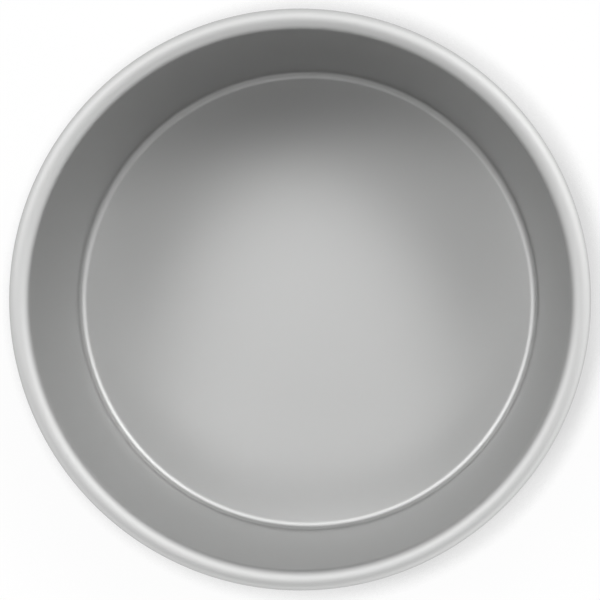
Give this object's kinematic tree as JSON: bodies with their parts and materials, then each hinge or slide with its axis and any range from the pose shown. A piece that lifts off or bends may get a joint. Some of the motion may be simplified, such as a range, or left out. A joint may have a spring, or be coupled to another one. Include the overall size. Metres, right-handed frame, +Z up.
{
  "type": "round cake tin",
  "caption": "Deep straight-sided round cake tin, one seamless metal shell with a flat base, tight corner and outward rolled rim around a wire.",
  "frame": {"origin": "centre of the base's underside, on the surface that the tin stands on", "axes": "+Z up along the tin's axis, out of its mouth; +X to the right and +Y to the top of the picture"},
  "size_m": [0.2192, 0.2192, 0.0762],
  "materials": {
    "anodised_sheet": "silver anodised, fine satin",
    "wire_metal": "drawn wire, mill finish"
  },
  "bodies": {
    "root": {"tin_shell": "anodised_sheet", "rim_wire": "wire_metal"}
  },
  "joints": []
}
